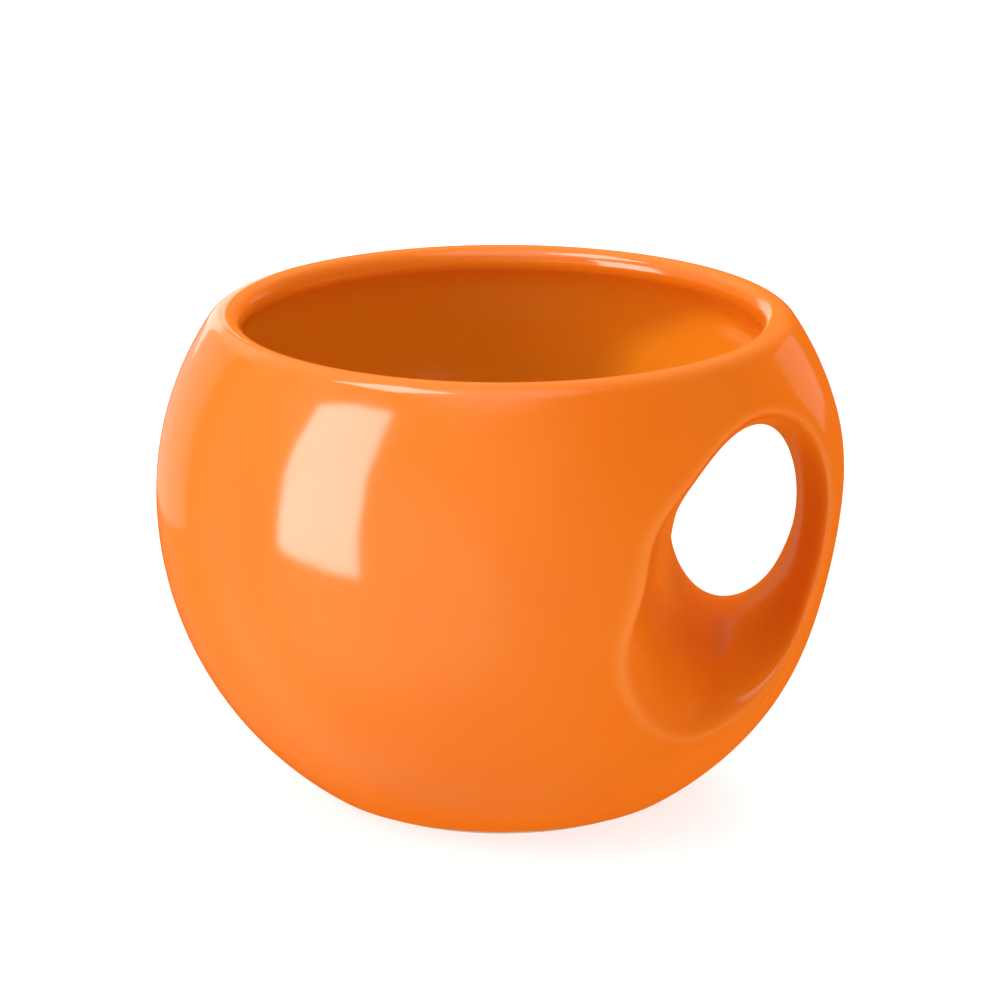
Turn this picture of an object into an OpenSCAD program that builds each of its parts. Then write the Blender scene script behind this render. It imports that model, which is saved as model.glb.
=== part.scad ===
// Round ceramic mug with a finger tunnel through one side.
// Units are millimetres. The mug stands on Z = 0 with its axis on Z.
// The finger tunnel runs along Y, and the handle strap is on the +X side.

/* [Body] */
// Greatest radius of the round body, over the glaze
body_r = 59; // [57:0.5:62]
// Height of the widest part above the table
belly_z = 52.2; // [50:0.1:54]
// Radius of the shoulder's curve, from the widest part up to the lip
shoulder_r = 54; // [51:0.5:56]
// Radius of the flank's curve, from the widest part down to the base
flank_r = 60.5; // [59:0.5:66]
// Thickness of the fired clay wall and floor
wall = 5; // [4.2:0.1:5.4]
// Thickness of one glaze coat
glaze = 0.4; // [0.3:0.05:0.6]
// Angle from the widest part up to the lip, about the centre of the shoulder's curve
lip_turn = 34.1; // [33:0.1:37]

/* [Finger tunnel] */
// Distance from the mug's axis to the middle of the tunnel
tunnel_x = 39.6; // [39:0.1:40]
// How far the middle of the tunnel sits below the widest part
tunnel_drop = 3.6; // [2.5:0.1:5]
// Clear width of the tunnel at its narrowest
tunnel_w = 21; // [19:0.5:22]
// Clear height of the tunnel at its narrowest
tunnel_h = 36.5; // [34:0.5:38]
// Lean of the tall opening, its top outwards, in degrees
tunnel_lean = 7; // [4:1:8]
// Radius of the rounded cheeks, the two tall sides of the opening
cheek_r = 28; // [26:1:32]
// Flare of the wall next to the cup, a larger radius is straighter
cup_flare_r = 235; // [200:5:280]
// Flare of the wall on the strap
strap_flare_r = 62; // [60:1:80]
// Flare of the roof and the floor
roof_flare_r = 64; // [62:1:80]
// Thickness of the clay tube between the tunnel and the cup
tube_wall = 3.4; // [3:0.1:4.2]

/* [Foot] */
// Outer radius of the bare foot ring
foot_r = 28.5; // [27:0.5:29]
// Width of the foot ring's flat face
foot_w = 3.5; // [2.5:0.5:5]
// Height that the ring lifts the glazed base off the table
foot_h = 1.2; // [1:0.1:1.6]

/* [Hidden] */
$fn = 96;
reach = 4 * body_r;
// Depths below the outer surface where each layer ends
clay_out = glaze;
clay_in = glaze + wall;
liner_in = 2 * glaze + wall;
// Centre of the shoulder's curve
shoulder_x = body_r - shoulder_r;
// Centre of the flank's curve
flank_x = body_r - flank_r;
// Middle of the rounded lip, half way through the wall
lip_r = liner_in / 2;
lip_x = shoulder_x + (shoulder_r - lip_r) * cos(lip_turn);
lip_z = belly_z + (shoulder_r - lip_r) * sin(lip_turn);
// Tunnel in its own leaning frame
tunnel_z = belly_z - tunnel_drop;
cheek_x = cheek_r - tunnel_w / 2;
tube_out = glaze + tube_wall;
tube_lined = 2 * glaze + tube_wall;

// Half of the body's outline, sunk by d below the outer surface, without an opening.
module outline(d) {
    // shoulder
    intersection() {
        union() {
            translate([shoulder_x, belly_z]) circle(shoulder_r - d);
            translate([0, belly_z]) square([shoulder_x, shoulder_r - d]);
        }
        translate([0, belly_z]) square([reach, reach]);
    }
    // flank, down to the flat base
    intersection() {
        translate([flank_x, belly_z]) circle(flank_r - d);
        translate([0, foot_h + d]) square([reach, belly_z - foot_h - d]);
    }
}

// Everything above the slanted plane on which the lip is rounded.
module above_lip() {
    polygon([[0, belly_z], [shoulder_x, belly_z],
             [shoulder_x + reach * cos(lip_turn), belly_z + reach * sin(lip_turn)],
             [0, reach + belly_z]]);
}

// A layer of the body's wall between two depths, up to the slanted lip plane.
module layer(d0, d1) {
    difference() {
        outline(d0);
        outline(d1);
        above_lip();
    }
}

// The round end of the wall above the lip plane: radius r, with its middle at mid wall.
module lip_end(r) {
    intersection() {
        translate([lip_x, lip_z]) circle(r);
        above_lip();
    }
}

// The coat of glaze over the round end, both halves.
module lip_coat() {
    difference() {
        lip_end(lip_r);
        lip_end(wall / 2);
    }
}

// One flared round solid of the tunnel's section: radius r at the middle, opening
// towards both ends with the curve flare_r, and grown by d.
module flared(r, flare_r, d) {
    rotate([90, 0, 0]) rotate_extrude() difference() {
        translate([0, -reach / 3]) square([r + flare_r, reach * 2 / 3]);
        translate([r + flare_r, 0]) circle(flare_r - d);
    }
}

module tunnel_frame() {
    translate([tunnel_x, 0, tunnel_z]) rotate([0, tunnel_lean, 0]) children();
}

// The air of the tunnel grown by d: two tall cheeks closed by a rounded roof and floor.
module tunnel_air(d) {
    tunnel_frame() intersection() {
        translate([cheek_x, 0, 0]) flared(cheek_r, cup_flare_r, d);
        translate([-cheek_x, 0, 0]) mirror([1, 0, 0]) flared(cheek_r, strap_flare_r, d);
        flared(tunnel_h / 2, roof_flare_r, d);
    }
}

// The same section carried outwards from its middle, so that the strap is solid.
module strap_block(d) {
    tunnel_frame() rotate([0, 90, 0]) linear_extrude(body_r)
        difference() {
            translate([-tunnel_h / 2 - roof_flare_r, -body_r])
                square([tunnel_h + 2 * roof_flare_r, 2 * body_r]);
            for (side = [-1, 1])
                translate([side * (tunnel_h / 2 + roof_flare_r), 0])
                    circle(roof_flare_r - d);
        }
}

// The space that the tube, the strap and what is inside them take out of the cup.
module tube_envelope(d) {
    tunnel_air(d);
    strap_block(d);
}

// Pale clay body: round wall, rounded lip and floor.
module globe_wall() {
    color([0.86, 0.80, 0.70]) difference() {
        rotate_extrude() {
            layer(clay_out, clay_in);
            lip_end(wall / 2);
        }
        tunnel_air(glaze);
    }
}

// Clay tube of the finger tunnel with the inside of the strap, set into the wall.
module finger_tunnel() {
    color([0.88, 0.82, 0.73]) difference() {
        intersection() {
            rotate_extrude() outline(clay_in);
            tube_envelope(tube_out);
        }
        tunnel_air(glaze);
    }
}

// Bare ring that the mug stands on.
module foot_ring() {
    color([0.82, 0.76, 0.66]) difference() {
        cylinder(h = foot_h + glaze, r = foot_r);
        translate([0, 0, -glaze]) cylinder(h = foot_h + 3 * glaze, r = foot_r - foot_w);
    }
}

// Glaze on the outside, from the top of the lip to the foot ring.
module outer_glaze() {
    color([0.957, 0.49, 0.17]) difference() {
        rotate_extrude() {
            layer(0, clay_out);
            difference() {
                lip_coat();
                outline(lip_r);
            }
        }
        tunnel_air(glaze);
        cylinder(h = foot_h + 2 * glaze, r = foot_r);
    }
}

// Glaze on the walls of the finger tunnel.
module tunnel_glaze() {
    color([0.85, 0.40, 0.07]) intersection() {
        rotate_extrude() outline(0);
        difference() {
            tunnel_air(glaze);
            tunnel_air(0);
        }
    }
}

// Glaze inside the cup, over the floor, the wall and the swelling of the tube.
module liner_glaze() {
    color([0.90, 0.42, 0.08]) {
        difference() {
            rotate_extrude() difference() {
                outline(clay_in);
                above_lip();
            }
            tube_envelope(tube_out);
            difference() {
                rotate_extrude() outline(liner_in);
                tube_envelope(tube_lined);
            }
        }
        rotate_extrude() intersection() {
            lip_coat();
            outline(lip_r);
        }
    }
}

// Glaze on the base inside the foot ring.
module foot_well_glaze() {
    color([0.957, 0.49, 0.17])
        translate([0, 0, foot_h]) cylinder(h = glaze, r = foot_r - foot_w);
}

globe_wall();
finger_tunnel();
foot_ring();
outer_glaze();
tunnel_glaze();
liner_glaze();
foot_well_glaze();
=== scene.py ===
import bpy
import numpy as np
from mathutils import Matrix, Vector


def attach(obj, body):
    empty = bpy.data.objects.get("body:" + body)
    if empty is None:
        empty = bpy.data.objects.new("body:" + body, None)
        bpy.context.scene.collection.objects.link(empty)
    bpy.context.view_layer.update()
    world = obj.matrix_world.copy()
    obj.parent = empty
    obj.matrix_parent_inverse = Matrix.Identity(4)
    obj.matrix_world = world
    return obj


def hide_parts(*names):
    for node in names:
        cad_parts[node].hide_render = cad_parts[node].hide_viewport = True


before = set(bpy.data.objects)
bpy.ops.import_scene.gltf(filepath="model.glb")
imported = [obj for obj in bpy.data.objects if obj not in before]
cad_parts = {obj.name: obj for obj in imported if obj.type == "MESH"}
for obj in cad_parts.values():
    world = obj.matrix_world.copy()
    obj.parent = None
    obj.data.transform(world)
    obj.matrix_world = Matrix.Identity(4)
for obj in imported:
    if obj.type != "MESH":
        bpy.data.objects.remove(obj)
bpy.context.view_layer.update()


# ---------------------------------------------------------------------------
# Glossy orange coat on the outside of the mug, poured over the biscuit-fired
# clay and fused in the kiln. It runs from the crest of the lip over the whole
# globe to the foot ring, and turns softly into the finger tunnel.
# ---------------------------------------------------------------------------
MM = 0.001
body_r, belly_z = 59.0, 52.2              # greatest radius and its height
shoulder_r, flank_r = 54.0, 60.5          # the two arcs of the side
wall = 5.8                                # clay and both coats
coat = 0.4                                # one coat of glaze
lip_rise, lip_out = 31.6, 4.0             # crest above the widest part, its outer rounding
base_z, heel_r, foot_r = 1.2, 4.0, 28.5   # level base, its rounded heel, edge of the foot ring

shoulder_c = body_r - shoulder_r
flank_c = body_r - flank_r
lip_turn = np.arcsin((lip_rise - lip_out) / (shoulder_r - lip_out))   # shoulder meets lip here
lip_x = shoulder_c + (shoulder_r - lip_out) * np.cos(lip_turn)        # radius of the crest
lip_z = belly_z + lip_rise - lip_out
lip_top = belly_z + lip_rise
heel_z = base_z + heel_r
heel_x = flank_c + np.sqrt((flank_r - heel_r) ** 2 - (belly_z - heel_z) ** 2)
heel_turn = np.arctan2(heel_z - belly_z, heel_x - flank_c)

tunnel_x, tunnel_z = 39.65, belly_z - 3.65   # middle of the finger tunnel
lean = np.radians(7.17)                      # its top leans outwards
half_w, half_h = 10.53, 18.2                 # its narrowest section is this oval
flare_y = 64.3                               # distance over which it opens
flare_d = flare_y ** 2 / 33.0                # depth of that opening curve
strap_flat = 1.9                             # the outside of the strap is pressed in by this


def hump(psi, at, reach):
    """A raised cosine of direction, one at the angle at and nothing beyond reach, in degrees."""
    away = (np.degrees(psi) - at + 180) % 360 - 180
    x = np.clip(away / reach, -1, 1)
    return np.cos(np.pi * x / 2) ** 2


def flare_share(psi):
    """How much of the opening curve each direction of the section takes: most high on
    the strap, little towards the cup. It is a sum of cosines and sines of one to four
    times the direction psi, fitted to the tunnel's visible edges and then evened on
    the strap by three raised cosines."""
    return (0.50 + 0.42 * np.cos(psi) + 0.125 * np.sin(psi)
            - 0.08 * np.cos(2 * psi) + 0.225 * np.sin(2 * psi)
            - 0.175 * np.cos(3 * psi) + 0.17 * np.sin(3 * psi)
            - 0.07 * np.cos(4 * psi) + 0.05 * np.sin(4 * psi)
            + 0.26 * hump(psi, -14, 38) - 0.22 * hump(psi, 35, 38) - 0.08 * hump(psi, -72, 30))


def oval(psi):
    """Radius of the narrowest section in direction psi: an ellipse half_w by half_h."""
    return half_w * half_h / np.hypot(half_h * np.cos(psi), half_w * np.sin(psi))


def opening(y):
    """The opening curve and its slope: flare_d times one minus the root of one minus
    (y / flare_y) squared, the quarter of an ellipse."""
    s = np.minimum(np.abs(y), 0.97 * flare_y) / flare_y
    root = np.sqrt(1 - s * s)
    return flare_d * (1 - root), flare_d * s / flare_y / root


def droop(psi, y):
    """Extra room at each end of the tunnel, low and towards the cup, where fingers enter:
    the cube of the cosine from that direction times the eighth power of y over 46."""
    return 1.5 * np.clip(np.cos(psi + np.radians(100)), 0, 1) ** 3 * (y / 46.0) ** 8


def tunnel_point(psi, y):
    """Point of the tunnel's wall in direction psi of the leaning section, y along it."""
    rho = oval(psi) + opening(y)[0] * flare_share(psi) + droop(psi, y)
    u, w = rho * np.cos(psi), rho * np.sin(psi)
    return np.stack([tunnel_x + u * np.cos(lean) + w * np.sin(lean), y + 0 * u,
                     tunnel_z - u * np.sin(lean) + w * np.cos(lean)], -1)


def to_tunnel(p):
    """Distance from points to the tunnel's wall, negative in its air, with the leaning
    section's own two coordinates."""
    x, z = p[..., 0] - tunnel_x, p[..., 2] - tunnel_z
    u = np.cos(lean) * x - np.sin(lean) * z
    w = np.sin(lean) * x + np.cos(lean) * z
    psi = np.arctan2(w, u)
    rise, slope = opening(p[..., 1])
    k, e = flare_share(psi), oval(psi)
    d = (np.hypot(u, w) - e - rise * k - droop(psi, p[..., 1])) * np.minimum(1, e / 20 + 0.3)
    return d / np.sqrt(1 + (k * slope) ** 2), u, w


def to_globe(p):
    """Distance from points to the side of the globe, negative inside: two arcs turned
    about the axis, pressed in on the strap by a soft raised cosine in height."""
    r, z = np.hypot(p[..., 0], p[..., 1]), p[..., 2] - belly_z
    d = np.where(z > 0, np.hypot(r - shoulder_c, z) - shoulder_r, np.hypot(r - flank_c, z) - flank_r)
    press = np.where(np.abs(z + 15) < 30, np.cos(np.pi * (z + 15) / 60) ** 2, 0)
    return d + strap_flat * np.clip(p[..., 0] / body_r, 0, 1) ** 4 * press


def to_skin(p):
    """Distance to the glazed skin: the larger of globe and minus tunnel, blended over a
    width so that the rim of the tunnel is round. The rim is crisp towards the cup,
    softer on the strap and softest at the bottom."""
    a, (t, u, w) = to_globe(p), to_tunnel(p)
    psi = np.arctan2(w, u)
    k = 4.6 - 3.1 * hump(psi, -178, 110) + 2.4 * hump(psi, -85, 50)
    h = np.clip(1 - np.abs(a + t) / k, 0, None)
    return np.maximum(a, -t) + h ** 3 * k / 6


def slope_of(field, p, step=0.02):
    """Unit gradient of a distance field by central differences."""
    g = np.stack([field(p + d) - field(p - d) for d in np.eye(3) * step], -1)
    size = np.linalg.norm(g, axis=-1, keepdims=True)
    return g / np.maximum(size, 1e-12), size[..., 0] / (2 * step)


def settle(p, field, rounds=6):
    """Moves points onto field = 0 along its gradient."""
    for _ in range(rounds):
        n, size = slope_of(field, p)
        p = p - np.clip(field(p) / np.maximum(size, 0.2), -2, 2)[..., None] * n
    return p


per_piece = 400                          # points along each arc or run of a profile


def line_of(pieces):
    """Joins arcs (centre r, centre z, radius, first and last angle) and straight runs
    (r0, z0, r1, z1, normal angle) into one profile, sampled by arc length: returns
    length, r, z and the outward normal."""
    rows = []
    for piece in pieces:
        t = np.linspace(0, 1, per_piece)
        kind, *v = piece
        if kind == "arc":
            a = v[3] + (v[4] - v[3]) * t
            s = np.sign(v[2])
            rows.append(np.stack([v[0] + abs(v[2]) * np.cos(a), v[1] + abs(v[2]) * np.sin(a),
                                  s * np.cos(a), s * np.sin(a)], -1))
        else:
            rows.append(np.stack([v[0] + (v[2] - v[0]) * t, v[1] + (v[3] - v[1]) * t,
                                  np.cos(v[4]) + 0 * t, np.sin(v[4]) + 0 * t], -1))
    rows = np.concatenate(rows)
    length = np.concatenate([[0], np.cumsum(np.hypot(*np.diff(rows[:, :2], axis=0).T))])
    return length, rows


def along(profile, s):
    """The profile's r, z and normal at arc lengths s."""
    return [np.interp(s, profile[0], profile[1][:, i]) for i in range(4)]


def turned(profile, theta, s):
    """Points and normals of the profile turned about the axis."""
    r, z, nr, nz = along(profile, s)
    r, z, nr, nz, theta = np.broadcast_arrays(r, z, nr, nz, theta)
    return (np.stack([r * np.cos(theta), r * np.sin(theta), z], -1),
            np.stack([nr * np.cos(theta), nr * np.sin(theta), nz], -1))


side = line_of([("arc", flank_c, belly_z, flank_r, heel_turn, 0.0),
                ("arc", shoulder_c, belly_z, shoulder_r, 0.0, lip_turn)])
side_len = side[0][-1]
heel = line_of([("run", foot_r, base_z, heel_x, base_z, -np.pi / 2),
                ("arc", heel_x, heel_z, heel_r, -np.pi / 2, heel_turn)])
lip = line_of([("arc", lip_x, lip_z, lip_out, lip_turn, np.pi / 2)])

# Rim of the tunnel on the front half: along each direction of the section, the y at
# which its wall leaves the globe, found by halving.
psi_rim = np.linspace(-np.pi, np.pi, 1441)
near, far = np.zeros_like(psi_rim), np.full_like(psi_rim, -58.0)
for _ in range(40):
    mid = (near + far) / 2
    inside = to_globe(tunnel_point(psi_rim, mid)) < 0
    near, far = np.where(inside, mid, near), np.where(inside, far, mid)
rim = tunnel_point(psi_rim, near)
rim_a = body_r * np.arctan2(rim[:, 1], rim[:, 0])            # unrolled: around, in mm
rim_z = rim[:, 2] - belly_z
rim_r = np.hypot(rim[:, 0], rim[:, 1])
rim_s = np.interp(np.where(rim_z > 0, np.arctan2(rim_z, rim_r - shoulder_c) * shoulder_r,
                           np.arctan2(rim_z, rim_r - flank_c) * flank_r),
                  [heel_turn * flank_r, lip_turn * shoulder_r], [0, side_len])
mid_a, mid_s = (rim_a.min() + rim_a.max()) / 2, (rim_s.min() + rim_s.max()) / 2

# Border of the unrolled front half, once round from its lower strap corner: a point of
# the border, the rim point in the same direction from the rim's middle.
n_base, n_left, n_lip, n_strap = 96, 38, 96, 50
left_a = -np.pi * body_r
border = np.concatenate([
    np.stack([np.linspace(0, left_a, n_base + 1)[:-1], np.zeros(n_base)], -1),
    np.stack([np.full(n_left, left_a), np.linspace(0, side_len, n_left + 1)[:-1]], -1),
    np.stack([np.linspace(left_a, 0, n_lip + 1)[:-1], np.full(n_lip, side_len)], -1),
    np.stack([np.zeros(n_strap), np.linspace(side_len, 0, n_strap + 1)[:-1]], -1)])
way = np.unwrap(np.arctan2(rim_s - mid_s, rim_a - mid_a))
if way[-1] < way[0]:
    way, psi_way = way[::-1], psi_rim[::-1]
else:
    psi_way = psi_rim
goal = np.arctan2(border[:, 1] - mid_s, border[:, 0] - mid_a)
goal = way[0] + np.mod(goal - way[0], 2 * np.pi)
psi_line = np.interp(goal, way, psi_way)                     # section direction of each line
rim_line = np.stack([np.interp(psi_line, psi_rim, rim_a), np.interp(psi_line, psi_rim, rim_s)], -1)
y_line = np.interp(psi_line, psi_rim, near)

# Globe rings from the rim out to the border, and tunnel rings from the middle to the rim,
# both closer together at the rim.
globe_rows, tunnel_rows = 79, 41
t = (np.linspace(0, 1, globe_rows) ** 1.7)[:, None, None]
flat = rim_line * (1 - t) + border * t
globe_p, _ = turned(side, flat[..., 0] / body_r, flat[..., 1])
v = 1 - (1 - np.linspace(0, 1, tunnel_rows)[:, None]) ** 1.5
tunnel_p = tunnel_point(psi_line + 0 * v, y_line * v)


def finished(p):
    """Settled points with normals; points on the plane y = 0 stay on it."""
    on_mid = np.abs(p[..., 1]) < 1e-6
    p = settle(p, to_skin)
    p[..., 1] = np.where(on_mid, 0, p[..., 1])
    n, _ = slope_of(to_skin, p)
    n[..., 1] = np.where(on_mid, 0, n[..., 1])
    return p, n / np.linalg.norm(n, axis=-1, keepdims=True)


border_row = globe_p[-1].copy()
globe_p, globe_n = finished(globe_p)
plain = np.abs(to_skin(border_row)) < 1e-3
globe_p[-1] = np.where(plain[:, None], border_row, globe_p[-1])
tunnel_p, tunnel_n = finished(tunnel_p)
tunnel_p[-1], tunnel_n[-1] = globe_p[0], globe_n[0]


def strip(profile, count, theta):
    """A whole profile in count points, turned about the axis to each angle theta."""
    return turned(profile, theta[None, :], np.linspace(0, profile[0][-1], count)[:, None])


theta_base = np.linspace(0, -np.pi, n_base + 1)
theta_lip = np.linspace(-np.pi, 0, n_lip + 1)
lip_p, lip_n = strip(lip, 9, theta_lip)
heel_p, heel_n = strip(heel, 14, theta_base)
n_all = len(border)
ring = np.arange(n_all + 1) % n_all


def both_halves(p, n):
    """A grid of points with normals and its mirror image across y = 0."""
    flip = np.array([1, -1, 1])
    return [(p, n), (p * flip, n * flip)]


def welded(grids):
    """Joins grids of points and normals into one sheet: points at the same place become
    one, and each face is turned to agree with its normals."""
    points = np.concatenate([p.reshape(-1, 3) for p, _ in grids])
    normals = np.concatenate([n.reshape(-1, 3) for _, n in grids])
    quads, start = [], 0
    for p, _ in grids:
        rows, cols = p.shape[:2]
        i = start + np.arange(rows * cols).reshape(rows, cols)
        quads.append(np.stack([i[:-1, :-1], i[:-1, 1:], i[1:, 1:], i[1:, :-1]], -1).reshape(-1, 4))
        start += rows * cols
    quads = np.concatenate(quads)
    key = np.rint(points * 2000).astype(np.int64)
    _, first, back = np.unique(key, axis=0, return_index=True, return_inverse=True)
    back = back.ravel()
    quads, points, normals = back[quads], points[first], normals[first]
    quads = quads[(quads == np.roll(quads, -1, 1)).sum(1) < 2]      # a sliver with no area
    a, b, c, d = (points[quads[:, i]] for i in range(4))
    face = np.cross(c - a, d - b)
    turn = (face * normals[quads].sum(1)).sum(1) < 0
    quads[turn] = quads[turn][:, ::-1]
    return points, normals, quads


def shell(sheet, outer, inner):
    """A closed wall from a sheet: its points sunk by outer and by inner along the
    normals, and a strip along every free edge."""
    points, normals, quads = sheet
    count = len(points)
    outer, inner = (np.broadcast_to(np.asarray(v, float), count)[:, None] for v in (outer, inner))
    edges = np.concatenate([quads[:, [i, (i + 1) % 4]] for i in range(4)])
    edges = edges[edges[:, 0] != edges[:, 1]]
    _, first, times = np.unique(np.sort(edges, 1), axis=0, return_index=True, return_counts=True)
    free = edges[first[times == 1]]
    sides = np.stack([free[:, 1], free[:, 0], free[:, 0] + count, free[:, 1] + count], -1)
    return (np.concatenate([points - normals * outer, points - normals * inner]),
            np.concatenate([normals, -normals]),
            np.concatenate([quads, quads[:, ::-1] + count, sides]))


def mesh_object(name, points, normals, quads, masks=None):
    """A mesh object in metres from points, normals and four-cornered faces, in which a
    face with two equal corners becomes a triangle."""
    same = quads == np.roll(quads, -1, 1)
    tri = same.any(1)
    faces = quads[~tri]
    corners = quads[tri][~same[tri]].reshape(-1, 3) if tri.any() else np.zeros((0, 3), int)
    loops = np.concatenate([faces.ravel(), corners.ravel()])
    starts = np.concatenate([np.arange(len(faces)) * 4, len(faces) * 4 + np.arange(len(corners)) * 3])
    mesh = bpy.data.meshes.new(name)
    mesh.vertices.add(len(points))
    mesh.vertices.foreach_set("co", (points * MM).astype(np.float32).ravel())
    mesh.loops.add(len(loops))
    mesh.loops.foreach_set("vertex_index", loops.astype(np.int32))
    mesh.polygons.add(len(starts))
    mesh.polygons.foreach_set("loop_start", starts.astype(np.int32))
    mesh.update(calc_edges=True)
    mesh.polygons.foreach_set("use_smooth", np.ones(len(starts), bool))
    for key, values in (masks or {}).items():
        mesh.attributes.new(key, "FLOAT", "POINT").data.foreach_set("value", values.astype(np.float32))
    mesh.normals_split_custom_set_from_vertices(normals.astype(np.float32))
    mesh.validate()
    obj = bpy.data.objects.new(name, mesh)
    bpy.context.collection.objects.link(obj)
    return obj


def thin_glaze_and_highlight_places(p):
    """A pale tone, partly where the glaze thins and partly a painted highlight: most on the
    crest of the lip, and faintly along the rim of the tunnel, where the glaze flows off
    to both sides."""
    crest = np.exp(-((p[:, 2] - lip_top) / 0.9) ** 2)
    edge = np.exp(-(np.maximum(-to_globe(p), np.abs(to_tunnel(p)[0])) / 1.1) ** 2) * (p[:, 2] < 78)
    return np.clip(0.35 * crest + 0.40 * edge, 0, 1)


def glaze_masks(p, painted_light=0.0):
    """The masks that the glaze reads: where the glaze thins on edges, partly a painted highlight;
    where painted shade darkens it (a millimetre inside the tunnel's rim and further, fading
    out towards the strap); and where a paler, yellower painted light is laid on, as the caller gives it."""
    t, u, _ = to_tunnel(p)
    # painted shade: a darker tone inside the tunnel, from a millimetre within its rim, fading out towards
    # the strap
    painted_shade = np.clip((-to_globe(p) - 0.2) / 1.2, 0, 1) * (t < 1) * np.clip(1 - u / 9, 0, 1)
    return {"thin_glaze_and_highlight": thin_glaze_and_highlight_places(p), "painted_shade": painted_shade, "painted_light": painted_light + 0 * p[:, 0]}


def glaze_material(name):
    """Orange gloss glaze: one colour that drifts a little in depth over the body, pales
    where the coat thins and with a painted highlight on the edges, darkens with painted
    shade inside the tunnel, pales and yellows with painted light in the cup and tunnel,
    is gently uneven like poured glass, and carries a few tiny pinholes and softer patches."""
    mat = bpy.data.materials.new(name)
    mat.use_nodes = True
    nodes, links = mat.node_tree.nodes, mat.node_tree.links
    shader = nodes["Principled BSDF"]
    shader.inputs["IOR"].default_value = 1.5
    place = nodes.new("ShaderNodeTexCoord")

    def noise(scale, detail, rough=0.5):
        n = nodes.new("ShaderNodeTexNoise")
        n.inputs["Scale"].default_value = scale
        n.inputs["Detail"].default_value = detail
        n.inputs["Roughness"].default_value = rough
        links.new(place.outputs["Object"], n.inputs["Vector"])
        return n

    def ramp(source, stops):
        r = nodes.new("ShaderNodeValToRGB")
        r.color_ramp.elements[0].position, r.color_ramp.elements[0].color = stops[0]
        r.color_ramp.elements[1].position, r.color_ramp.elements[1].color = stops[-1]
        for at, colour in stops[1:-1]:
            r.color_ramp.elements.new(at).color = colour
        links.new(source, r.inputs["Fac"])
        return r

    drift = noise(22.0, 3.0)
    colour = ramp(drift.outputs["Fac"], [(0.3, (0.775, 0.150, 0.0055, 1)), (0.5, (0.790, 0.160, 0.0068, 1)),
                                         (0.7, (0.805, 0.171, 0.0085, 1))]).outputs["Color"]
    fleck = noise(900.0, 2.0)
    fleck_mask = ramp(fleck.outputs["Fac"], [(0.74, (0, 0, 0, 1)), (0.80, (1, 1, 1, 1))])
    dot = nodes.new("ShaderNodeMix")
    dot.data_type = "RGBA"
    links.new(fleck_mask.outputs["Color"], dot.inputs["Factor"])
    links.new(colour, dot.inputs["A"])
    dot.inputs["B"].default_value = (0.74, 0.143, 0.005, 1)
    colour = dot.outputs["Result"]
    # tones laid over the colour: a darker painted shade, a paler and yellower painted light, and a pale
    # tone where the glaze thins, partly a painted highlight
    for key, tone in (("painted_shade", (0.755, 0.143, 0.0058, 1)), ("painted_light", (0.760, 0.270, 0.0120, 1)),
                      ("thin_glaze_and_highlight", (0.93, 0.30, 0.07, 1))):
        where = nodes.new("ShaderNodeAttribute")
        where.attribute_name = key
        layer = nodes.new("ShaderNodeMix")
        layer.data_type = "RGBA"
        links.new(where.outputs["Fac"], layer.inputs["Factor"])
        links.new(colour, layer.inputs["A"])
        layer.inputs["B"].default_value = tone
        colour = layer.outputs["Result"]
    links.new(colour, shader.inputs["Base Color"])
    gloss = ramp(noise(60.0, 4.0).outputs["Fac"],
                 [(0.3, (0.10, 0.10, 0.10, 1)), (0.75, (0.15, 0.15, 0.15, 1))])
    links.new(gloss.outputs["Color"], shader.inputs["Roughness"])
    swell = nodes.new("ShaderNodeBump")
    swell.inputs["Strength"].default_value = 0.10
    swell.inputs["Distance"].default_value = 0.0012
    links.new(noise(85.0, 1.0).outputs["Fac"], swell.inputs["Height"])
    pit = nodes.new("ShaderNodeBump")
    pit.invert = True
    pit.inputs["Strength"].default_value = 0.12
    pit.inputs["Distance"].default_value = 0.00008
    links.new(fleck_mask.outputs["Color"], pit.inputs["Height"])
    links.new(swell.outputs["Normal"], pit.inputs["Normal"])
    links.new(pit.outputs["Normal"], shader.inputs["Normal"])
    return mat


outside = welded(both_halves(globe_p[:, ring], globe_n[:, ring])
                 + both_halves(lip_p, lip_n) + both_halves(heel_p, heel_n))
points, normals, quads = shell(outside, 0, coat)
outer_coat = mesh_object("outer_glaze_coat", points, normals, quads, glaze_masks(points))
outer_coat.data.materials.append(glaze_material("orange_gloss_outside"))
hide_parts("outer_glaze")
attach(outer_coat, "root")


# ---------------------------------------------------------------------------
# The same glaze inside the finger tunnel, an oval sleeve that opens like a horn
# to the front and to the back. It was dipped with the outside, and its two rims
# run into the outer coat without a line.
# ---------------------------------------------------------------------------
bore = welded(both_halves(tunnel_p[:, ring], tunnel_n[:, ring]))
points, normals, quads = shell(bore, 0, coat)
# painted light: a paler, yellower tone deeper in the tunnel and towards the strap
tunnel_coat = mesh_object("tunnel_glaze_coat", points, normals, quads,
                          glaze_masks(points, 0.8 * np.clip(-to_globe(points) / 9, 0, 1)
                                      * np.clip(to_tunnel(points)[1] / 8, 0, 1)))
tunnel_coat.data.materials.append(glaze_material("orange_gloss_tunnel"))
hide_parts("tunnel_glaze")
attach(tunnel_coat, "root")


# ---------------------------------------------------------------------------
# Glaze lining of the cup: poured in, swirled and tipped out. It covers the inner
# half of the lip, the wall, the rounded floor, and the swelling where the clay
# tube of the finger tunnel crosses the cup.
# ---------------------------------------------------------------------------
floor_z, floor_r = base_z + wall, 12.0
in_shoulder, in_flank = shoulder_r - wall, flank_r - wall
bend_x = flank_c + np.sqrt((in_flank - floor_r) ** 2 - (belly_z - floor_z - floor_r) ** 2)
bend_turn = np.arctan2(floor_z + floor_r - belly_z, bend_x - flank_c)
tube_skin = 4.2                                # coat, clay tube and coat of the tunnel
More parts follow.
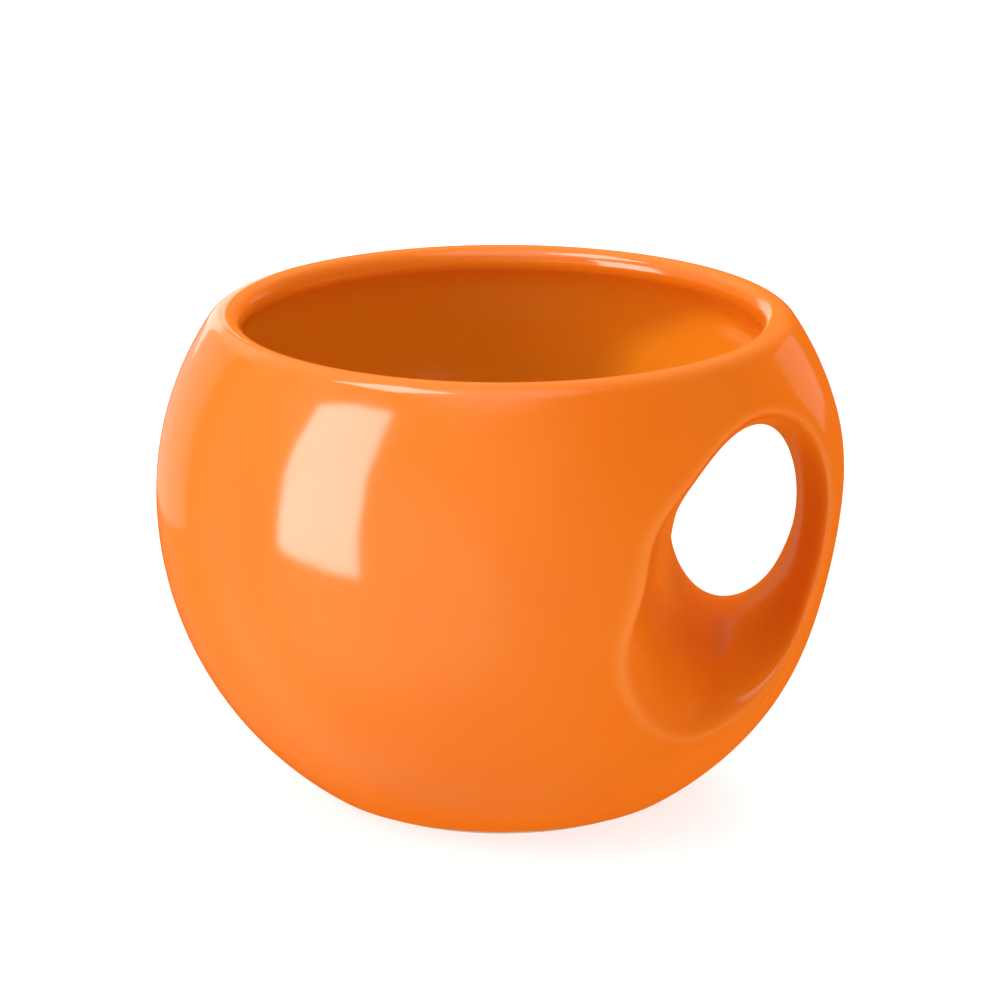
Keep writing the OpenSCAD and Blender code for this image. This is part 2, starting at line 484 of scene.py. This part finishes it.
# inner rounding of the lip: it shares the crest and touches the inner shoulder from outside
run_x = lip_x - shoulder_c
lip_in = (run_x ** 2 + lip_rise ** 2 - in_shoulder ** 2) / (2 * (in_shoulder + lip_rise))
in_turn = np.arctan2(lip_rise - lip_in, run_x)
lining = line_of([("arc", lip_x, lip_top - lip_in, lip_in, np.pi / 2, np.pi + in_turn),
                  ("arc", shoulder_c, belly_z, -in_shoulder, in_turn, 0.0),
                  ("arc", flank_c, belly_z, -in_flank, 0.0, bend_turn),
                  ("arc", bend_x, floor_z + floor_r, -floor_r, bend_turn, -np.pi / 2),
                  ("run", bend_x, floor_z, 0.0, floor_z, np.pi / 2)])
lip_end = lip_in * (np.pi / 2 + in_turn)
wall_end = lining[0][3 * per_piece - 1]
lip_rows = 13
s_lining = np.concatenate([np.linspace(0, lip_end, lip_rows)[:-1], np.linspace(lip_end, wall_end, 96)[:-1],
                           np.linspace(wall_end, lining[0][-1], 30)])
theta_in = np.linspace(-np.pi, np.pi, 281)
plain_p, plain_n = turned(lining, theta_in[None, :], s_lining[:, None])


def to_tube(p):
    """Distance from points to the lined outside of the clay tube and of the solid strap
    behind it, negative inside them. Beyond the tunnel's middle only its height counts."""
    t, u, w = to_tunnel(p)
    rise, slope = opening(p[..., 1])
    k = np.where(w > 0, flare_share(np.pi / 2), flare_share(-np.pi / 2))
    block = (np.abs(w) - half_h - rise * k) / np.sqrt(1 + (k * slope) ** 2)
    return np.where(u < 0, t, np.minimum(t, block)) - tube_skin


eye = np.array([-8.0, 0.0, 92.0])             # a point over the mouth that sees the whole lining
reach = plain_p - eye
depth = np.abs((reach * plain_n).sum(-1))


tube_blend = 7.0                              # width of the soft turn from tube to wall


def lining_gap(share):
    """Along the straight way from the eye to each plain point: the smaller of the
    distance left to the plain wall and the distance to the tube, softly blended."""
    a = (1 - share) * depth
    b = to_tube(eye + reach * share[..., None])
    h = np.clip(1 - np.abs(a - b) / tube_blend, 0, None)
    return np.minimum(a, b) - h ** 3 * tube_blend / 6


far = np.ones(depth.shape)
near = np.full(depth.shape, 0.25)
open_yet = np.ones(depth.shape, bool)
for share in np.linspace(0.27, 1, 74):
    hit = open_yet & (lining_gap(np.full(depth.shape, share)) < 1e-9)
    far = np.where(hit, share, far)
    open_yet &= ~hit
    near = np.where(open_yet, share, near)
for _ in range(30):
    mid = (near + far) / 2
    hit = lining_gap(mid) < 1e-9
    near, far = np.where(hit, near, mid), np.where(hit, mid, far)
far[:lip_rows] = 1.0
far = np.where(far > 1 - 1e-6, 1.0, far)
lined_p = eye + reach * far[..., None]
lined_p[:, -1] = lined_p[:, 0]
around = np.concatenate([lined_p[:, -2:-1], lined_p, lined_p[:, 1:2]], 1)
d_theta = around[:, 2:] - around[:, :-2]
d_s = np.gradient(lined_p, s_lining, axis=0)
lined_n = np.cross(d_s, d_theta)
lined_n /= np.maximum(np.linalg.norm(lined_n, axis=-1, keepdims=True), 1e-12)
lined_n *= np.sign((lined_n * plain_n).sum(-1, keepdims=True).mean())
moved = np.clip((1 - far) * 400, 0, 1)[..., None]
lined_n = lined_n * moved + plain_n * (1 - moved)
lined_n[:lip_rows], lined_n[-1] = plain_n[:lip_rows], (0, 0, 1)
lined_p[-1] = lined_p[-1].mean(0)
lined_n /= np.linalg.norm(lined_n, axis=-1, keepdims=True)
points, normals, quads = shell(welded([(lined_p, lined_n)]), 0, coat)
# painted light: a paler, yellower tone on the lining below the lip, weaker towards the right
liner_coat = mesh_object("liner_glaze_coat", points, normals, quads,
                         glaze_masks(points, np.clip((lip_top - 1 - points[:, 2]) / 7, 0, 1)
                                     * np.clip(1.15 - points[:, 0] / 50, 0.3, 1)))
liner_coat.data.materials.append(glaze_material("orange_gloss_lining"))
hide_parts("liner_glaze")
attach(liner_coat, "root")


# ---------------------------------------------------------------------------
# The clay body under the glaze: a cast globe of pale stoneware with a rounded
# lip. It is hidden by its coats, and thins to half the strap beside the tunnel.
# ---------------------------------------------------------------------------
def clay_material(name, pale, dark):
    """Bare fired clay: two tones of noise, dark iron specks and a fine grain."""
    mat = bpy.data.materials.new(name)
    mat.use_nodes = True
    nodes, links = mat.node_tree.nodes, mat.node_tree.links
    shader = nodes["Principled BSDF"]
    shader.inputs["IOR"].default_value = 1.45
    place = nodes.new("ShaderNodeTexCoord")

    def noise(scale, detail):
        n = nodes.new("ShaderNodeTexNoise")
        n.inputs["Scale"].default_value = scale
        n.inputs["Detail"].default_value = detail
        links.new(place.outputs["Object"], n.inputs["Vector"])
        return n.outputs["Fac"]

    def ramp(source, low, high, start, end):
        r = nodes.new("ShaderNodeValToRGB")
        r.color_ramp.elements[0].position, r.color_ramp.elements[0].color = low, start
        r.color_ramp.elements[1].position, r.color_ramp.elements[1].color = high, end
        links.new(source, r.inputs["Fac"])
        return r.outputs["Color"]

    tone = ramp(noise(140.0, 5.0), 0.3, 0.7, dark, pale)
    specks = ramp(noise(1500.0, 2.0), 0.68, 0.74, (0, 0, 0, 1), (1, 1, 1, 1))
    mix = nodes.new("ShaderNodeMix")
    mix.data_type = "RGBA"
    links.new(specks, mix.inputs["Factor"])
    links.new(tone, mix.inputs["A"])
    mix.inputs["B"].default_value = (0.16, 0.10, 0.06, 1)
    links.new(mix.outputs["Result"], shader.inputs["Base Color"])
    links.new(ramp(noise(400.0, 3.0), 0.3, 0.7, (0.72, 0.72, 0.72, 1), (0.92, 0.92, 0.92, 1)),
              shader.inputs["Roughness"])
    grain = nodes.new("ShaderNodeBump")
    grain.inputs["Strength"].default_value = 0.35
    grain.inputs["Distance"].default_value = 0.00015
    links.new(noise(2600.0, 4.0), grain.inputs["Height"])
    links.new(grain.outputs["Normal"], shader.inputs["Normal"])
    return mat


half_shell = ring[::2]
rows = np.unique(np.append(np.arange(0, globe_rows, 3), globe_rows - 1))
points, normals, quads = welded(both_halves(globe_p[rows][:, half_shell], globe_n[rows][:, half_shell])
                                + both_halves(lip_p[:, ::2], lip_n[:, ::2])
                                + both_halves(heel_p[:, ::2], heel_n[:, ::2]))
round_r, height = np.hypot(points[:, 0], points[:, 1]), points[:, 2] - belly_z
pressed = -np.where(height > 0, np.hypot(round_r - shoulder_c, height) - shoulder_r,
                    np.hypot(round_r - flank_c, height) - flank_r)
pressed = np.where((points[:, 2] < lip_z) & (points[:, 2] > heel_z), np.clip(pressed, 0, 3), 0)
depth = np.clip(0.45 * to_tunnel(points)[0] + 0.6, 0.5, coat + 4.9 - pressed)
depth = np.where(points[:, 2] > lip_z, np.minimum(depth, 2.4), depth)
points, normals, quads = shell((points, normals, quads), coat, depth)
clay_body = mesh_object("clay_body", points, normals, quads)
clay_body_pale, clay_body_dark = (0.72, 0.60, 0.45, 1), (0.60, 0.48, 0.34, 1)
clay_body.data.materials.append(clay_material("fired_clay_body", clay_body_pale, clay_body_dark))
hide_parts("globe_wall")
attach(clay_body, "root")


# ---------------------------------------------------------------------------
# The clay tube of the finger tunnel, made apart and luted into two holes of the
# globe while both were leather-hard. Outside it becomes the inner half of the strap.
# ---------------------------------------------------------------------------
rows = np.arange(0, tunnel_rows, 2)
sheet = welded(both_halves(tunnel_p[rows][:, half_shell], tunnel_n[rows][:, half_shell]))
depth = np.clip(-0.45 * to_globe(sheet[0]) + 0.6, 0.5, coat + 2.2)
points, normals, quads = shell(sheet, coat, depth)
clay_tube = mesh_object("clay_tube", points, normals, quads)
clay_tube_pale, clay_tube_dark = (0.74, 0.62, 0.47, 1), (0.62, 0.50, 0.36, 1)
clay_tube.data.materials.append(clay_material("fired_clay_tube", clay_tube_pale, clay_tube_dark))
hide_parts("finger_tunnel")
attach(clay_tube, "root")


# ---------------------------------------------------------------------------
# Bare foot ring, thrown with the body and wiped clean of glaze so that the mug
# doesn't stick to the kiln shelf. Its edges are sponged round.
# ---------------------------------------------------------------------------
foot_w, foot_top, soft = 3.5, base_z + coat, 0.55
foot = line_of([("run", foot_r, foot_top, foot_r, soft, 0.0),
                ("arc", foot_r - soft, soft, soft, 0.0, -np.pi / 2),
                ("run", foot_r - soft, 0.0, foot_r - foot_w + soft, 0.0, -np.pi / 2),
                ("arc", foot_r - foot_w + soft, soft, soft, -np.pi / 2, -np.pi),
                ("run", foot_r - foot_w, soft, foot_r - foot_w, foot_top, np.pi),
                ("run", foot_r - foot_w, foot_top, foot_r, foot_top, np.pi / 2)])
# few points on its straight runs, more on its two rounded edges
s_foot = foot[0][np.r_[0:400:133, 400:800:57, 800:1200:80, 1200:1600:57,
                       1600:2000:133, 2000:2400:133, 2399]]
points, normals, quads = welded([turned(foot, np.linspace(0, 2 * np.pi, 193)[None, :], s_foot[:, None])])
foot_ring = mesh_object("foot_ring_clay", points, normals, quads)
foot_ring_pale, foot_ring_dark = (0.66, 0.55, 0.42, 1), (0.52, 0.42, 0.31, 1)
foot_ring.data.materials.append(clay_material("bare_foot_clay", foot_ring_pale, foot_ring_dark))
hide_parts("foot_ring")
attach(foot_ring, "root")


# ---------------------------------------------------------------------------
# A thin pool of glaze on the base inside the foot ring, with a soft meniscus at
# its edge. It was brushed on after the foot was wiped.
# ---------------------------------------------------------------------------
well_r = foot_r - foot_w
well = line_of([("run", 0.0, foot_top, well_r, foot_top, np.pi / 2),
                ("run", well_r, foot_top, well_r, base_z, 0.0),
                ("run", well_r, base_z, 0.0, base_z + 0.12, -np.pi / 2)])
s_well = well[0][np.r_[0:400:57, 400, 799, 800:1200:21, 1199]]
well_p, well_n = turned(well, np.linspace(0, 2 * np.pi, 193)[None, :], s_well[:, None])
points, normals, quads = welded([(well_p, well_n)])
foot_well = mesh_object("foot_well_glaze_pool", points, normals, quads, glaze_masks(points))
foot_well.data.materials.append(glaze_material("orange_gloss_base"))
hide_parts("foot_well_glaze")
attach(foot_well, "root")


# ---------------------------------------------------------------------------
# Studio: a plain pale floor and a bright surround, with an upright softbox to the
# left of the camera and one overhead. Three cards are mirrored in the mug's sides,
# and a light at the left and one behind only light the colour.
# ---------------------------------------------------------------------------
floor_mesh = bpy.data.meshes.new("studio_floor")
floor_mesh.from_pydata([(-6, -6, 0), (6, -6, 0), (6, 6, 0), (-6, 6, 0)], [], [(0, 1, 2, 3)])
floor = bpy.data.objects.new("studio_floor", floor_mesh)
bpy.context.collection.objects.link(floor)
floor_mat = bpy.data.materials.new("pale_floor")
floor_mat.use_nodes = True
floor_shader = floor_mat.node_tree.nodes["Principled BSDF"]
floor_shader.inputs["Base Color"].default_value = (0.4, 0.4, 0.4, 1)
floor_shader.inputs["Roughness"].default_value = 0.9
floor_shader.inputs["Emission Color"].default_value = (1, 1, 1, 1)
floor_shader.inputs["Emission Strength"].default_value = 0.72
floor_mesh.materials.append(floor_mat)
floor.visible_glossy = False

# The room: even and white for what it lights, while its mirror image in the glaze is
# brighter to the left and behind, brightest low on the left front, and dark on the right.
world = bpy.data.worlds.new("studio")
world.use_nodes = True
bpy.context.scene.world = world
nodes, links = world.node_tree.nodes, world.node_tree.links
sky = nodes.new("ShaderNodeTexCoord")


def toward(azimuth, height, stops):
    """Level by direction: a colour ramp of the cosine to one direction, from -1 to 1."""
    a, h = np.radians(azimuth), np.radians(height)
    dot = nodes.new("ShaderNodeVectorMath")
    dot.operation = "DOT_PRODUCT"
    links.new(sky.outputs["Generated"], dot.inputs[0])
    dot.inputs[1].default_value = (np.sin(a) * np.cos(h), -np.cos(a) * np.cos(h), np.sin(h))
    spread = nodes.new("ShaderNodeMapRange")
    spread.inputs["From Min"].default_value = -1
    links.new(dot.outputs["Value"], spread.inputs["Value"])
    ramp = nodes.new("ShaderNodeValToRGB")
    ramp.color_ramp.interpolation = "EASE"
    for i, (at, level) in enumerate(stops):
        stop = ramp.color_ramp.elements[i] if i < 2 else ramp.color_ramp.elements.new(1)
        stop.position = (at + 1) / 2
        stop.color = (level, level, level, 1)
    links.new(spread.outputs["Result"], ramp.inputs["Fac"])
    return ramp.outputs["Color"]


def blend(a, b, how, factor=1.0):
    """A mix node of the room's colours, each input being a value or another node's output."""
    node = nodes.new("ShaderNodeMix")
    node.data_type, node.blend_type = "RGBA", how
    node.clamp_result = False
    for value, slot in ((factor, "Factor"), (a, "A"), (b, "B")):
        if hasattr(value, "default_value"):
            links.new(value, node.inputs[slot])
        else:
            node.inputs[slot].default_value = value
    return node.outputs["Result"]


wide = toward(-75, 0, [(-0.55, 0.0), (-0.40, 0.03), (-0.12, 0.20),
                       (0.12, 0.36), (0.36, 0.55), (0.8, 0.60)])
glow = toward(-40, -18, [(0.66, 0.0), (0.93, 0.45)])
under = toward(0, -90, [(0.55, 0.0), (1.0, 0.6)])
above = toward(-10, 72, [(0.86, 0.0), (0.97, 1.5)])
mirror = blend(blend(wide, glow, "ADD"), blend(wide, (0.5, 0.5, 0.5, 1), "MULTIPLY"), "MIX", under)
mirror = blend(mirror, (0.85, 1.35, 0.95, 1), "MULTIPLY")
# low behind the mug the room is warm from its own colour, paler on the left
low = toward(0, -90, [(-0.62, 0.0), (-0.28, 1.0)])
warm = blend((0.80, 0.17, 0.016, 1), (0.80, 0.36, 0.17, 1), "MIX",
             toward(-90, 0, [(0.10, 0.0), (0.55, 1.0)]))
back = blend(toward(180, 0, [(0.20, 0.0), (0.60, 1.0)]), low, "MULTIPLY")
mirror = blend(mirror, warm, "MIX", back)
mirror = blend(mirror, above, "ADD")
ray = nodes.new("ShaderNodeLightPath")
room = blend((1, 1, 1, 1), mirror, "MIX", ray.outputs["Is Glossy Ray"])
links.new(room, nodes["Background"].inputs["Color"])
nodes["Background"].inputs["Strength"].default_value = 1.0


def softbox(name, place, facing, width, height, level, in_gloss, shows_in=()):
    """An upright rectangular softbox, level being its brightness. Some show only in the
    gloss, of all pieces or of the ones named, and the others only light the colour."""
    light = bpy.data.lights.new(name, "AREA")
    light.shape, light.size, light.size_y = "RECTANGLE", width, height
    light.energy = level * np.pi * width * height
    obj = bpy.data.objects.new(name, light)
    bpy.context.collection.objects.link(obj)
    obj.location = place
    obj.rotation_euler = Vector(facing).to_track_quat("-Z", "Y").to_euler()
    obj.visible_diffuse, obj.visible_glossy = not in_gloss, in_gloss
    obj.visible_camera = False
    if shows_in:
        group = bpy.data.collections.new(name + "_shows_in")
        for piece in shows_in:
            group.objects.link(piece)
        obj.light_linking.receiver_collection = group
    return obj


softbox("key_softbox", (-1.005, -0.528, 0.347), (0.514, 0.858, 0), 0.70, 1.09, 9.0, True)
softbox("left_card", (-0.69, 0.98, 0.30), (0.57, -0.82, 0), 0.87, 1.2, 0.40, True, (outer_coat,))
softbox("left_back_card", (-0.35, 1.15, 0.23), (0.29, -0.95, 0), 0.42, 0.50, 1.1, True,
        (outer_coat, liner_coat))
softbox("right_back_card", (0.80, 0.89, 0.18), (-0.67, -0.74, 0), 0.45, 0.42, 0.34, True,
        (outer_coat, liner_coat))
softbox("top_softbox", (-0.50, -0.14, 1.13), (0.42, 0.12, -0.90), 0.55, 0.42, 8.0, True)
softbox("key_light", (-0.98, -0.30, 0.68), (0.82, 0.25, -0.52), 0.6, 0.6, 6.6, False)
softbox("back_light", (0.18, 1.02, 0.65), (-0.15, -0.85, -0.50), 0.6, 0.6, 8.0, False)

aim_z = (belly_z - 1.84) * MM
distance, rise, turn = 0.880, np.radians(16.5), np.radians(0.7)
camera = bpy.data.cameras.new("camera")
camera.lens, camera.sensor_width = 185.2, 36.0
camera.clip_end = 50
camera_obj = bpy.data.objects.new("camera", camera)
bpy.context.collection.objects.link(camera_obj)
camera_obj.location = (np.sin(turn) * distance * np.cos(rise), -np.cos(turn) * distance * np.cos(rise),
                       aim_z + distance * np.sin(rise))
look = Vector((-0.33 * MM, 0, aim_z)) - camera_obj.location
camera_obj.rotation_euler = look.to_track_quat("-Z", "Y").to_euler()
bpy.context.scene.camera = camera_obj
bpy.context.scene.view_settings.view_transform = "Standard"
